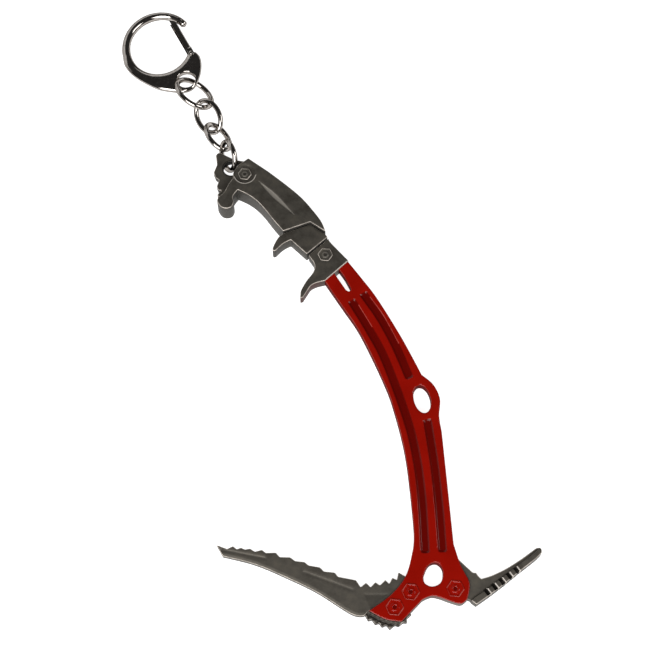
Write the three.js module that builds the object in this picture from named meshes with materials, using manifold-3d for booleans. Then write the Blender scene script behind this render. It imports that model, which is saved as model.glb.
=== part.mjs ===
// A key-chain miniature of a technical ice axe: a bent red shaft with a forked head that holds a
// toothed pick, a hammer and an adze, a metal handle of two finger hooks, two grip scales and a
// pommel plate, and a short chain that ends in a D-shaped snap clasp.
// Millimetres, +Z up. The axe lies flat: X runs across it, Y runs from the head to the clasp.

import * as THREE from 'three';
import { mergeVertices } from 'three/addons/utils/BufferGeometryUtils.js';
import Module from 'manifold-3d';

const wasm = await Module();
wasm.setup();

// Thicknesses, all centred on the axe's middle plane.
const GRIP_THICKNESS = 8.4;
const GUARD_THICKNESS = 6;
const FERRULE_THICKNESS = 4.8;
const SHAFT_THICKNESS = 3.7;
const HAMMER_THICKNESS = 3;
const CORE_THICKNESS = 2.8;
const BLADE_THICKNESS = 2.4;
const ADZE_RIM_THICKNESS = 4.4;
const MIDDLE_Z = GRIP_THICKNESS / 2;

// Fits and edges.
const SLIP = 0.1;
const EDGE = 0.2;
const NOTCH_WIDTH = 1;
const NOTCH_LENGTH = 2.4;
const GROOVE_WIDTH = 3;
const GROOVE_DEPTH = 0.6;
const GROOVE_WALL = 0.6;

// Fasteners.
const SHANK_RADIUS = 1;
const SHANK_HOLE_RADIUS = 1.1;
const HEAD_HEX_RADIUS = 2.9;
const FERRULE_HEX_RADIUS = 2.6;
const GRIP_HEX_RADIUS = 2.4;
const HEX_TURN = -0.1;
const HEX_HEIGHT = 0.5;
const BOSS_RADIUS = 3.5;
const HAMMER_EYE_RADIUS = 2.4;
const PICK_BOLT_FRONT = [21.6, -96.6];
const PICK_BOLT_REAR = [26.6, -91.8];
const ADZE_BOLT = [40.5, -90.8];
const FERRULE_BOLT = [0.1, 22.7];
const GRIP_BOLT = [-27.3, 52.2];

// Chain: rings of round wire. Each lies along its heading, then is pitched and rolled, in degrees.
const WIRE_RADIUS = 0.9;
const JUMP_RING_RADIUS = 4.9;
const LONG_LINK = [7.2, 6.5];
const SHORT_LINK = [6, 4.3];
const CHAIN = [
  ['jump_ring', [JUMP_RING_RADIUS, JUMP_RING_RADIUS], [-33.2, 60.3, 5.5], [-69.5, -5.8, 69]],
  ['chain_link_3', SHORT_LINK, [-37, 68.4, 4.2], [-67.6, 11.4, -39.3]],
  ['chain_link_2', SHORT_LINK, [-40.5, 76.3, 4.3], [-60.1, -10.1, 36.7]],
  ['chain_link_1', LONG_LINK, [-45.6, 85, 5.1], [-64.9, 12.9, -37.5]],
];

// Clasp, in a frame of its own whose origin is the middle of its eye.
const CLASP_PLACE = [-48.6, 90.7, 4];
const CLASP_DROP = 4.5;
const CLASP_THICKNESS = 2.2;
const CLASP_WIRE_RADIUS = 1.45;
const CLASP_TIP_RADIUS = 1.15;
const OPENING_CENTRE = [-10, 14.6];
const OPENING_RADII = [10.5, 11.7];
const EYE_RADIUS = 3.2;
const GATE_PIVOT = [1.4, 11];
const GATE_HEADING = 117.5;
const GATE_LENGTH = 15.6;
const GATE_WIDTH = 2;
const GATE_HEIGHT = 3;
const GATE_SHEET = 0.4;
const GATE_PIN_RADIUS = 0.6;

const SPLINE_STEPS = 3;
const ROUND_STEPS = 16;
const WIRE_SIDES = 10;
const RING_STEPS = 28;

const RED = [0.3, 0.006, 0.004, 0.35, 0];
const PEWTER = [0.05, 0.045, 0.038, 0.45, 1];
const CHROME = [0.35, 0.33, 0.31, 0.12, 1];
const SPRING_STEEL = [0.4, 0.4, 0.4, 0.3, 1];

// ---------------------------------------------------------------- helpers

// An outline starts at a corner. A step is a straight line to [x, y], or a smooth curve through
// a list of points.
function outline(start, steps) {
  const shape = new THREE.Shape();
  shape.moveTo(...start);
  for (const step of steps) {
    if (Array.isArray(step[0])) {
      shape.splineThru(step.map(([x, y]) => new THREE.Vector2(x, y)));
    } else {
      shape.lineTo(...step);
    }
  }
  return shape;
}

function ellipse([x, y], radiusX, radiusY, turn, steps = ROUND_STEPS) {
  const curve = new THREE.EllipseCurve(x, y, radiusX, radiusY, 0, 2 * Math.PI, false, turn);
  return new THREE.Shape().setFromPoints(curve.getPoints(steps).slice(0, -1));
}

function circle(centre, radius, steps) {
  return ellipse(centre, radius, radius, 0, steps);
}

function hexagon([x, y], radius) {
  const shape = new THREE.Shape();
  for (let corner = 0; corner < 6; corner += 1) {
    const angle = HEX_TURN + (corner * Math.PI) / 3;
    const point = [x + radius * Math.cos(angle), y + radius * Math.sin(angle)];
    if (corner === 0) {
      shape.moveTo(...point);
    } else {
      shape.lineTo(...point);
    }
  }
  return shape;
}

// A strip of constant width along a smooth line, with rounded ends.
function strip(points, width) {
  const line = new THREE.SplineCurve(points.map(([x, y]) => new THREE.Vector2(x, y)));
  const count = 4 * (points.length - 1);
  const left = [];
  const right = [];
  for (let i = 0; i <= count; i += 1) {
    const centre = line.getPoint(i / count);
    const along = line.getTangent(i / count);
    left.push([centre.x - along.y * width / 2, centre.y + along.x * width / 2]);
    right.push([centre.x + along.y * width / 2, centre.y - along.x * width / 2]);
  }
  const cap = (t, sign) => {
    const centre = line.getPoint(t);
    const along = line.getTangent(t).multiplyScalar(sign * width / 2);
    return [centre.x + along.x, centre.y + along.y];
  };
  const steps = [...left.slice(1), cap(1, 1), ...right.reverse(), cap(0, -1)];
  return outline(left[0], steps);
}

// A flat plate from low to high with bevelled edges; the outline is its widest section.
function plate(shape, low, high, edge = 0) {
  const geometry = new THREE.ExtrudeGeometry(shape, {
    depth: high - low - 2 * edge,
    bevelEnabled: edge > 0,
    bevelThickness: edge,
    bevelSize: edge,
    bevelOffset: -edge,
    bevelSegments: 1,
    curveSegments: SPLINE_STEPS,
  });
  return geometry.translate(0, 0, low + edge);
}

// A plate centred on the middle plane.
function middlePlate(shape, thickness, edge = 0) {
  return plate(shape, MIDDLE_Z - thickness / 2, MIDDLE_Z + thickness / 2, edge);
}

// A cutter that is larger than the outline by SLIP all round.
function pocket(shape, thickness) {
  const geometry = new THREE.ExtrudeGeometry(shape, {
    depth: thickness,
    bevelEnabled: true,
    bevelThickness: SLIP,
    bevelSize: SLIP,
    bevelSegments: 1,
    curveSegments: SPLINE_STEPS,
  });
  return geometry.translate(0, 0, MIDDLE_Z - thickness / 2);
}

// Points along an arc of an ellipse, from one angle to another in degrees.
function arc([x, y], [radiusX, radiusY], from, to, count) {
  const [start, end] = [from, to].map(THREE.MathUtils.degToRad);
  const curve = new THREE.EllipseCurve(x, y, radiusX, radiusY, start, end, end < start, 0);
  return curve.getPoints(count).map((point) => [point.x, point.y]);
}

// A round wire along a flat curve. A closed curve makes a ring, and an open one gets flat ends.
function wire(curve, steps, startRadius, endRadius = startRadius) {
  const closed = curve.getPoint(0).distanceTo(curve.getPoint(1)) < SLIP;
  const rings = closed ? steps : steps + 1;
  const positions = [];
  for (let i = 0; i < rings; i += 1) {
    const centre = curve.getPoint(i / steps);
    const along = curve.getTangent(i / steps);
    const radius = THREE.MathUtils.lerp(startRadius, endRadius, i / steps);
    for (let j = 0; j < WIRE_SIDES; j += 1) {
      const angle = (2 * Math.PI * j) / WIRE_SIDES;
      const out = radius * Math.cos(angle);
      positions.push(centre.x + along.y * out, centre.y - along.x * out, radius * Math.sin(angle));
    }
  }
  const triangles = [];
  for (let i = 0; i < steps; i += 1) {
    for (let j = 0; j < WIRE_SIDES; j += 1) {
      const here = i * WIRE_SIDES;
      const next = ((i + 1) % rings) * WIRE_SIDES;
      const side = (j + 1) % WIRE_SIDES;
      triangles.push(here + j, next + j, next + side, here + j, next + side, here + side);
    }
  }
  if (!closed) {
    const last = steps * WIRE_SIDES;
    for (let j = 1; j < WIRE_SIDES - 1; j += 1) {
      triangles.push(0, j, j + 1, last, last + j + 1, last + j);
    }
  }
  const geometry = new THREE.BufferGeometry();
  geometry.setAttribute('position', new THREE.Float32BufferAttribute(positions, 3));
  geometry.setIndex(triangles);
  geometry.computeVertexNormals();
  return geometry;
}

function pin([x, y], radius, low, high, sides = ROUND_STEPS) {
  const geometry = new THREE.CylinderGeometry(radius, radius, high - low, sides);
  return geometry.rotateX(Math.PI / 2).translate(x, y, (low + high) / 2);
}

function toSolid(geometry) {
  const bare = geometry.clone();
  bare.deleteAttribute('normal');
  bare.deleteAttribute('uv');
  const merged = mergeVertices(bare, 1e-4);
  return new wasm.Manifold(new wasm.Mesh({
    numProp: 3,
    vertProperties: new Float32Array(merged.attributes.position.array),
    triVerts: new Uint32Array(merged.index.array),
  }));
}

function toGeometry(solid) {
  const mesh = solid.getMesh();
  const geometry = new THREE.BufferGeometry();
  geometry.setAttribute('position', new THREE.BufferAttribute(mesh.vertProperties, 3));
  geometry.setIndex(new THREE.BufferAttribute(mesh.triVerts, 1));
  geometry.computeVertexNormals();
  return geometry;
}

function join(...geometries) {
  return toGeometry(geometries.map(toSolid).reduce((a, b) => a.add(b)));
}

function cut(geometry, ...cutters) {
  return toGeometry(cutters.map(toSolid).reduce((a, b) => a.subtract(b), toSolid(geometry)));
}

function named(name, geometry, [red, green, blue, roughness, metalness]) {
  const color = new THREE.Color(red, green, blue);
  const material = new THREE.MeshStandardMaterial({ color, roughness, metalness });
  const mesh = new THREE.Mesh(geometry, material);
  mesh.name = name;
  return mesh;
}

// ---------------------------------------------------------------- shaft

// The end faces of the ferrule and of the guard cross the handle on these lines.
const SHAFT_END = [[0.1, 13.2], [7.8, 20.4]];
const HANDLE_CORE = [
  [[-2.1, 20.7], [-5, 25.4], [-8.4, 30.6], [-12.4, 36.2], [-17.6, 42]],
  [[-12, 42.8], [-7.6, 37.6], [-4, 32.6], [-1.1, 28.6], [2.3, 24.7]],
];

function handleCore() {
  return outline([2.6, 13.4], [
    [1.5, 14.7],
    HANDLE_CORE[0],
    [-14.6, 45.4],
    HANDLE_CORE[1],
    [5.9, 18.7],
    [7, 17.4],
  ]);
}

function shaftOutline() {
  const shape = outline(SHAFT_END[1], [
    [[12.2, 14.5], [17.3, 7.2], [24.4, -5.3], [29.1, -14.7], [31.5, -19.8]],
    [[35.3, -23.3], [37.3, -28.2], [36.9, -34], [37.6, -39.5]],
    [[39.2, -60.3], [40.4, -76.5]],
    [[42.4, -83.2], [45, -89], [44.2, -94]],
    [[42.1, -95.5], [38.6, -94.6]],
    [[33.6, -93], [30.2, -94.2]],
    [23.6, -101.1],
    [[18.7, -100.3], [13.6, -97.7]],
    [[20.8, -92.3], [25.4, -86.1], [27.8, -77]],
    [[27.9, -70], [25.9, -48.3], [22.4, -32], [18.9, -21.5], [11.7, -5.3], [6.3, 3.5]],
    SHAFT_END[0],
  ]);
  shape.holes.push(ellipse([31.5, -28.2], 2.7, 4.8, 0.2));
  shape.holes.push(outline([30.7, -86.8], [
    [[31, -88.9], [33.3, -90], [35.9, -88.9], [36.8, -86.2], [36.5, -84], [35.2, -82.6],
      [33.6, -82.5], [32, -83.7], [30.7, -86.8]],
  ]));
  return shape;
}

const GROOVES = [
  [[8.9, 6.1], [14.4, -3.8], [19.6, -14.8], [26.4, -35], [29.2, -48], [30.7, -61], [31.3, -78.6]],
  [[12.9, 8.7], [18.2, 0.2], [23, -9.5], [26.9, -20]],
  [[33.2, -36.6], [34.9, -50], [36.1, -64], [36.7, -78.4]],
];

// A sloping-walled trough cut into the upper face, and its mirror in the lower one.
function grooveCutters(points) {
  const top = MIDDLE_Z + SHAFT_THICKNESS / 2;
  const bottom = MIDDLE_Z - SHAFT_THICKNESS / 2;
  const floor = strip(points, GROOVE_WIDTH - 2 * GROOVE_WALL);
  const trough = (face) => new THREE.ExtrudeGeometry(floor, {
    depth: SLIP,
    bevelEnabled: true,
    bevelThickness: GROOVE_DEPTH,
    bevelSize: GROOVE_WALL,
    bevelSegments: 1,
  }).translate(0, 0, face - SLIP / 2);
  return [trough(top), trough(bottom)];
}

function shaft() {
  const body = middlePlate(shaftOutline(), SHAFT_THICKNESS, EDGE);
  const core = middlePlate(handleCore(), CORE_THICKNESS);
  const slot = strip([[4.2, 16.4], [8, 10.4]], 2);
  const holes = [PICK_BOLT_FRONT, PICK_BOLT_REAR, ADZE_BOLT, FERRULE_BOLT];
  return cut(
    join(body, core),
    pocket(pickTongue(), BLADE_THICKNESS),
    pocket(adzeTongue(), BLADE_THICKNESS),
    middlePlate(slot, 2 * SHAFT_THICKNESS),
    ...GROOVES.flatMap(grooveCutters),
    ...holes.map((centre) => pin(centre, SHANK_HOLE_RADIUS, 0, GRIP_THICKNESS)),
  );
}

// ---------------------------------------------------------------- head

// Each tongue reaches from inside the fork to just past the head's edge.
function pickTongue() {
  return outline([9, -99.4], [
    [13.4, -101.4],
    [20.4, -102.4],
    [25, -101.2],
    [29.4, -95.6],
    [30.2, -92.4],
    [28.4, -87.4],
    [24.6, -84],
    [20, -88],
    [16, -92],
  ]);
}

function adzeTongue() {
  return outline([42.8, -80], [
    [40.9, -80.4],
    [39.3, -84.7],
    [37.9, -88],
    [38.2, -92.6],
    [41.6, -93.6],
    [46.2, -93.6],
    [47, -88],
  ]);
}

function pickOutline() {
  const hookedTeeth = [
    [-30.7, -77.9], [-28.9, -77], [-27.7, -78], [-26.4, -77.5], [-25.1, -78.1], [-23.5, -77.8],
    [-22, -78.8], [-19.8, -78.2], [-18.5, -79.2], [-15.4, -79.1], [-14.2, -80.5], [-10.9, -80.6],
    [-9.3, -81.8], [-6.4, -82.1], [-5.1, -83.2], [-1.6, -83.8], [-0.3, -85.1], [3.1, -85.5],
    [4.1, -86.8], [9.7, -87.9], [11.1, -90.1],
  ];
  const rootTeeth = [
    [12.8, -88.7], [14.2, -90.1], [15.7, -88.5], [17.1, -89.5], [18.8, -87.8], [20, -89],
    [21, -87.1], [22.4, -87.8], [22.9, -85.4], [25, -86.6],
  ];
  return outline([-34.1, -76.6], [
    ...hookedTeeth,
    ...rootTeeth,
    [28.2, -87.6],
    [29.8, -92],
    [24.6, -97.6],
    [20.6, -99.2],
    [14, -97.4],
    [13.3, -97.8],
    [12.5, -98.75],
    [12, -99.2],
    [[8, -98.4], [-2.2, -91.9], [-11, -87.5], [-21.7, -82.9], [-32.1, -80.2]],
  ]);
}

// The front bolt holds two half-thick tongues: the pick's below, the hammer's above.
function halfLap() {
  return outline([18.2, -103], [
    [24.6, -103], [24.6, -95.4], [23, -93.6], [19.8, -93.6], [18.2, -95.4],
  ]);
}

function pick() {
  const blade = middlePlate(pickOutline(), BLADE_THICKNESS);
  const top = MIDDLE_Z + BLADE_THICKNESS;
  const lap = plate(halfLap(), MIDDLE_Z - SLIP / 2, top);
  const holes = [PICK_BOLT_FRONT, PICK_BOLT_REAR];
  return cut(blade, lap, ...holes.map((centre) => pin(centre, SHANK_HOLE_RADIUS, 0, top)));
}

function hammerTeeth() {
  return outline([12.7, -98.8], [
    [13.3, -100.6], [14.5, -100.2], [15.5, -101.8], [16.7, -101.3], [17.6, -102.6],
    [18.9, -101.9], [20, -103.3], [21.6, -102], [22.8, -102.4], [24, -101.2], [25.4, -101.3],
    [25.3, -99.9], [26.9, -98.6], [26.4, -98.4],
    [23.7, -101.2], [[18.6, -100.5], [13.4, -97.9]],
  ]);
}

function hammer() {
  const neck = outline([18.8, -101.4], [
    [22.8, -102], [23.6, -98], [22.6, -95.8], [20.6, -95.6], [19.4, -97.4],
  ]);
  const high = MIDDLE_Z + BLADE_THICKNESS / 2;
  const body = join(
    middlePlate(hammerTeeth(), HAMMER_THICKNESS),
    plate(neck, MIDDLE_Z + SLIP / 2, high),
    pin(PICK_BOLT_FRONT, HAMMER_EYE_RADIUS, MIDDLE_Z + SLIP / 2, high),
  );
  return cut(body, pin(PICK_BOLT_FRONT, SHANK_HOLE_RADIUS, 0, GRIP_THICKNESS));
}

function adzeOutline() {
  return outline([41.5, -81], [
    [46.1, -85.5], [47.2, -85.6], [47.9, -86.7], [48.7, -87.5],
    [[51.9, -86.5], [56.7, -84.2], [61.6, -81.1], [65.3, -78.4]],
    [[66.6, -77.6], [67.7, -78], [67.6, -79.3]],
    [[65.3, -81.9], [60.6, -85], [56, -88.6], [51.1, -92.3], [47.3, -95]],
    [45, -93.8],
    [41.4, -93.2], [38.8, -92.2], [38.3, -88], [39.7, -84.8],
  ]);
}

function adzeRim() {
  return outline([46.2, -94], [
    [[50, -90.9], [54.9, -87.1], [59.5, -83.6], [64.6, -80], [67.2, -77.8]],
    [[67.8, -78.2], [67.6, -79.3]],
    [[65.3, -81.9], [60.6, -85], [56, -88.6], [51.1, -92.3], [47.3, -95]],
  ]);
}

// Five notches across the rim, square to its edge and as deep as the blade's face.
function adzeNotches() {
  const first = new THREE.Vector2(51.1, -91.6);
  const last = new THREE.Vector2(60.7, -84.6);
  const turn = last.clone().sub(first).angle();
  const middleZ = MIDDLE_Z + (BLADE_THICKNESS + GRIP_THICKNESS) / 2;
  const count = 5;
  const notches = [];
  for (let i = 0; i < count; i += 1) {
    const centre = first.clone().lerp(last, i / (count - 1));
    const box = new THREE.BoxGeometry(NOTCH_WIDTH, NOTCH_LENGTH, GRIP_THICKNESS);
    notches.push(box.rotateZ(turn).translate(centre.x, centre.y, middleZ));
  }
  return notches;
}

function adze() {
  const body = join(
    middlePlate(adzeOutline(), BLADE_THICKNESS),
    middlePlate(adzeRim(), ADZE_RIM_THICKNESS, EDGE),
  );
  return cut(body, pin(ADZE_BOLT, SHANK_HOLE_RADIUS, 0, GRIP_THICKNESS), ...adzeNotches());
}

// ---------------------------------------------------------------- handle

function ferrule() {
  const shape = outline([1.2, 28.8], [
    [2, 27.2], [7.9, 20.6],
    [0, 13.3],
    [[-2.5, 12.7], [-4.6, 11.6], [-5.9, 9.6], [-7.3, 7.3]],
    [[-8.2, 7.1], [-8.2, 8.4]],
    [[-8, 9.8], [-6.3, 13.1], [-4, 16.3], [-3.4, 18.6], [-3.9, 20.2]],
    [-5.5, 22.6],
  ]);
  return cut(
    middlePlate(shape, FERRULE_THICKNESS, EDGE),
    pocket(handleCore(), CORE_THICKNESS),
    pin(FERRULE_BOLT, SHANK_HOLE_RADIUS, 0, GRIP_THICKNESS),
  );
}

function guard() {
  const shape = outline([0.9, 29.1], [
    [0, 30.2],
    [-5, 33.7],
    [-13.9, 30.4],
    [[-15.6, 29], [-16.9, 26.7], [-17.6, 24.8]],
    [[-17.4, 24], [-16.6, 24]],
    [[-14, 26.6], [-11.5, 28]],
    [-6.1, 22.8],
  ]);
  return cut(middlePlate(shape, GUARD_THICKNESS, EDGE), pocket(handleCore(), CORE_THICKNESS));
}

function scaleOutline() {
  return outline([-26.2, 58.1], [
    [-29.8, 55.3], [-30.6, 53.9],
    [[-31.3, 52.2], [-31.2, 50.6]],
    [[-32.7, 48.3], [-34.2, 45.2], [-36, 43.4]],
    [[-36.5, 42], [-35.2, 39.8], [-33.3, 39.1], [-31.5, 39.8], [-30.8, 41.6]],
    [[-31.2, 43.6], [-29.6, 46.1]],
    [[-26.1, 44.3], [-23, 41.9], [-20.2, 38.7], [-17.2, 34.6], [-14, 30.7]],
    [-5, 34.1],
    [0.2, 30.5],
    [[-1.2, 34.2], [-4, 38.3], [-7.9, 43.1], [-13.2, 48], [-19.5, 53.2]],
  ]);
}

// The scales are mirror twins. The outer face has a round boss recess and a shallow flute.
function scale() {
  const low = MIDDLE_Z + CORE_THICKNESS / 2 + SLIP;
  const flute = outline([-22.5, 49.3], [
    [[-16.4, 44.1], [-10.4, 36.7]],
    [[-17.6, 43.2], [-22.5, 49.3]],
  ]);
  return cut(
    plate(scaleOutline(), low, GRIP_THICKNESS, EDGE),
    pin(GRIP_BOLT, BOSS_RADIUS, GRIP_THICKNESS - HEX_HEIGHT, GRIP_THICKNESS + 1, 2 * ROUND_STEPS),
    pin(GRIP_BOLT, SHANK_HOLE_RADIUS, 0, GRIP_THICKNESS),
    plate(flute, GRIP_THICKNESS - 0.5, GRIP_THICKNESS + 0.5),
  );
}

// The pommel plate runs on between the scales as their liner, with the same edge as theirs.
function pommelPlate() {
  const pommel = outline([-37.5, 60.6], [
    [-37, 57], [-38.1, 54], [-37.3, 52], [-36.1, 51.2],
    [-36.9, 48.8], [-36.3, 47.3], [-35.2, 47.2],
    [-36.7, 45.6], [-35.8, 44.4], [-36.1, 43.3], [-33, 43.3],
    [-31.6, 46.4], [-22.5, 51.2], [-25.5, 56.9],
    [-27.8, 58.3], [[-30.3, 58.8], [-32.6, 59.8], [-35.8, 61.5]], [-36.8, 61.5],
  ]);
  return cut(
    join(middlePlate(pommel, CORE_THICKNESS), middlePlate(scaleOutline(), CORE_THICKNESS)),
    pocket(handleCore(), CORE_THICKNESS),
    pin([-32.1, 55.6], 2.7, 0, GRIP_THICKNESS),
    pin(GRIP_BOLT, SHANK_HOLE_RADIUS, 0, GRIP_THICKNESS),
  );
}

// ---------------------------------------------------------------- fasteners

// A hex bolt whose head stands on the face at the given height, with its nut on the back.
function bolt(centre, hexRadius, face) {
  const back = 2 * MIDDLE_Z - face;
  const head = plate(hexagon(centre, hexRadius), face + SLIP / 2, face + HEX_HEIGHT);
  return join(head, pin(centre, SHANK_RADIUS, back - HEX_HEIGHT, face + HEX_HEIGHT / 2));
}

function nut(centre, hexRadius, face) {
  const back = 2 * MIDDLE_Z - face;
  const shape = hexagon(centre, hexRadius);
  shape.holes.push(circle(centre, SHANK_HOLE_RADIUS));
  return plate(shape, back - HEX_HEIGHT, back - SLIP / 2);
}

const FASTENERS = [
  ['pick_front', PICK_BOLT_FRONT, HEAD_HEX_RADIUS, MIDDLE_Z + SHAFT_THICKNESS / 2, RED],
  ['pick_rear', PICK_BOLT_REAR, HEAD_HEX_RADIUS, MIDDLE_Z + SHAFT_THICKNESS / 2, RED],
  ['adze', ADZE_BOLT, HEAD_HEX_RADIUS, MIDDLE_Z + SHAFT_THICKNESS / 2, RED],
  ['ferrule', FERRULE_BOLT, FERRULE_HEX_RADIUS, MIDDLE_Z + FERRULE_THICKNESS / 2, PEWTER],
  ['grip', GRIP_BOLT, GRIP_HEX_RADIUS, GRIP_THICKNESS - HEX_HEIGHT, PEWTER],
];

// ---------------------------------------------------------------- chain

function ring([name, [halfLength, halfWidth], place, [heading, pitch, roll]]) {
  const curve = new THREE.EllipseCurve(0, 0, halfLength, halfWidth, 0, 2 * Math.PI);
  const mesh = named(name, wire(curve, RING_STEPS, WIRE_RADIUS), CHROME);
  const angles = [roll, -pitch, heading].map(THREE.MathUtils.degToRad);
  mesh.position.set(...place);
  mesh.rotation.set(...angles, 'ZYX');
  return mesh;
}

// ---------------------------------------------------------------- clasp

function claspOutline() {
  const shape = outline([-21.7, 14.6], [
    [[-22.8, 11], [-21.8, 6.4], [-18, 1.8], [-10.5, -3], [-4.2, -4.5], [-0.4, -4.8], [3, -3],
      [4.8, 2], [5.1, 6.6], [4.4, 10], [3.2, 11.6]],
    [2.4, 11.9], [1.6, 12], [0.6, 11.7],
    ...arc(OPENING_CENTRE, OPENING_RADII, -18, -172, 18),
  ]);
  shape.holes.push(circle([0, 0], EYE_RADIUS, 2 * ROUND_STEPS));
  return shape;
}

// The wire runs from the ball at the hook's tip, over the top and down into the plate.
function claspBody() {
  const [x, y] = OPENING_CENTRE;
  const radii = OPENING_RADII.map((radius) => radius + CLASP_WIRE_RADIUS);
  const [tip, foot] = [47, 215].map(THREE.MathUtils.degToRad);
  const curve = new THREE.EllipseCurve(x, y, ...radii, tip, foot);
  const ball = new THREE.SphereGeometry(CLASP_TIP_RADIUS + SLIP, 12, 8);
  const end = curve.getPoint(0);
  const body = join(
    plate(claspOutline(), -CLASP_THICKNESS / 2, CLASP_THICKNESS / 2, EDGE),
    wire(curve, RING_STEPS, CLASP_TIP_RADIUS, CLASP_WIRE_RADIUS),
    ball.translate(end.x, end.y, 0),
  );
  const lug = GATE_HEIGHT / 2 - GATE_SHEET - 2 * SLIP;
  const knuckle = GATE_WIDTH / 2 + 4 * SLIP;
  return cut(
    body,
    pin(GATE_PIVOT, knuckle, lug, GATE_HEIGHT),
    pin(GATE_PIVOT, knuckle, -GATE_HEIGHT, -lug),
    pin(GATE_PIVOT, GATE_PIN_RADIUS + SLIP, -GATE_HEIGHT, GATE_HEIGHT),
  );
}

// The gate and its spring have the pivot as their origin and lie along +X. The gate is a folded
// channel: its back faces out of the clasp, and its two flanks straddle the lug at the foot.
function gate() {
  const half = GATE_WIDTH / 2;
  const shape = outline([0, -half], [
    [GATE_LENGTH - half, -half],
    [GATE_LENGTH + half / 2, half],
    ...arc([0, 0], [half, half], 90, 270, 8).slice(0, -1),
  ]);
  const inside = GATE_HEIGHT / 2 - GATE_SHEET;
  const back = -half + GATE_SHEET;
  const channel = outline([2 * half, back], [
    [2 * GATE_LENGTH, back], [2 * GATE_LENGTH, GATE_WIDTH], [2 * half, GATE_WIDTH],
  ]);
  const foot = outline([-GATE_WIDTH, -GATE_WIDTH], [
    [1.6, -GATE_WIDTH], [1.6, back], [GATE_WIDTH, back], [GATE_WIDTH, GATE_WIDTH],
    [-GATE_WIDTH, GATE_WIDTH],
  ]);
  return cut(
    plate(shape, -GATE_HEIGHT / 2, GATE_HEIGHT / 2, EDGE),
    plate(channel, -inside, inside),
    plate(foot, -inside, inside),
    pin([0, 0], GATE_PIN_RADIUS + SLIP, -GATE_HEIGHT, GATE_HEIGHT),
  );
}

function gateSpring() {
  const leaf = strip([[2, 0.4], [3.2, 0.1], [4.6, -0.4], [7, -0.45]], 0.25);
  return plate(leaf, -0.8, 0.8);
}

function clasp() {
  const group = new THREE.Group();
  const hinge = new THREE.Group();
  hinge.position.set(...GATE_PIVOT, 0);
  hinge.rotation.z = THREE.MathUtils.degToRad(GATE_HEADING);
  hinge.add(named('clasp_gate', gate(), CHROME));
  hinge.add(named('gate_spring', gateSpring(), SPRING_STEEL));
  const rivet = pin(GATE_PIVOT, GATE_PIN_RADIUS, -GATE_HEIGHT / 2, GATE_HEIGHT / 2);
  group.add(named('clasp_body', claspBody(), CHROME), named('gate_pin', rivet, CHROME), hinge);
  group.position.set(...CLASP_PLACE);
  const across = new THREE.Vector3(OPENING_CENTRE[1], -OPENING_CENTRE[0], 0).normalize();
  group.rotateOnAxis(across, THREE.MathUtils.degToRad(-CLASP_DROP));
  return group;
}

// ---------------------------------------------------------------- assembly

function axe() {
  const group = new THREE.Group();
  group.add(named('shaft', shaft(), RED));
  group.add(named('pick', pick(), PEWTER));
  group.add(named('hammer', hammer(), PEWTER));
  group.add(named('adze', adze(), PEWTER));
  group.add(named('ferrule', ferrule(), PEWTER));
  group.add(named('guard', guard(), PEWTER));
  group.add(named('pommel_plate', pommelPlate(), PEWTER));
  group.add(named('grip_front_scale', scale(), PEWTER));
  const backScale = named('grip_back_scale', scale(), PEWTER);
  backScale.scale.z = -1;
  backScale.position.z = GRIP_THICKNESS;
  group.add(backScale);
  for (const [name, centre, hexRadius, face, colour] of FASTENERS) {
    group.add(named(`${name}_bolt`, bolt(centre, hexRadius, face), colour));
    group.add(named(`${name}_nut`, nut(centre, hexRadius, face), colour));
  }
  return group;
}

// The origin is under the middle of the whole length, on the surface that the axe lies on.
const keyChain = new THREE.Group();
keyChain.add(axe(), ...CHAIN.map(ring), clasp());
const bounds = new THREE.Box3().setFromObject(keyChain, true);
const middle = bounds.getCenter(new THREE.Vector3());
keyChain.position.set(-middle.x, -middle.y, -bounds.min.z);

export default keyChain;
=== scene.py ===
import math
from collections import namedtuple

import bmesh
import bpy
import numpy as np
from mathutils import Matrix, Vector
from mathutils.geometry import delaunay_2d_cdt


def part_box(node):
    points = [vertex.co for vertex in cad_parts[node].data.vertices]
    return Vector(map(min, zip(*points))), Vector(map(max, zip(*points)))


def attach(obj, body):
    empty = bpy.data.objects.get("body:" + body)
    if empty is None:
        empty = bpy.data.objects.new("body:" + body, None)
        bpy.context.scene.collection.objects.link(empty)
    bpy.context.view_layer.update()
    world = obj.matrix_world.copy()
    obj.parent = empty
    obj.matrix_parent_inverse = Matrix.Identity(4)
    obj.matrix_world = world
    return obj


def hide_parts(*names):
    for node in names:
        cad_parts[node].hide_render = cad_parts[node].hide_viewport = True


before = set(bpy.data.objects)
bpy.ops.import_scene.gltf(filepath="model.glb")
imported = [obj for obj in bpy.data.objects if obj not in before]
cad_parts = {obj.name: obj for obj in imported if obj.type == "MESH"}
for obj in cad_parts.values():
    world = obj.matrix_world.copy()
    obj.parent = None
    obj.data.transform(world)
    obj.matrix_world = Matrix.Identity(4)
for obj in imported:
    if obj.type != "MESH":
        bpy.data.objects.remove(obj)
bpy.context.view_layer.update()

# Places are millimetres in the axe's own drawing, with +Y towards the clasp. SHIFT carries them
# into the frame, whose origin is under the middle of the whole key chain.
ADZE_BOLT = (40.5, -90.8)
bolt_low, bolt_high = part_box("adze_bolt")
SHIFT = Vector((*((bolt_low + bolt_high) / 2).xy, 0)) - Vector((*ADZE_BOLT, 0)) / 1000

# Thicknesses, all centred on the axe's middle plane.
GRIP_THICKNESS = 8.4
GUARD_THICKNESS = 6
FERRULE_THICKNESS = 4.8
ADZE_RIM_THICKNESS = 4.4
SHAFT_THICKNESS = 3.7
HAMMER_THICKNESS = 3
CORE_THICKNESS = 2.8
BLADE_THICKNESS = 2.4
MIDDLE_Z = GRIP_THICKNESS / 2

# The distance below which two places count as touching. Bolts and nuts sink by it.
FIT = 0.1

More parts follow.
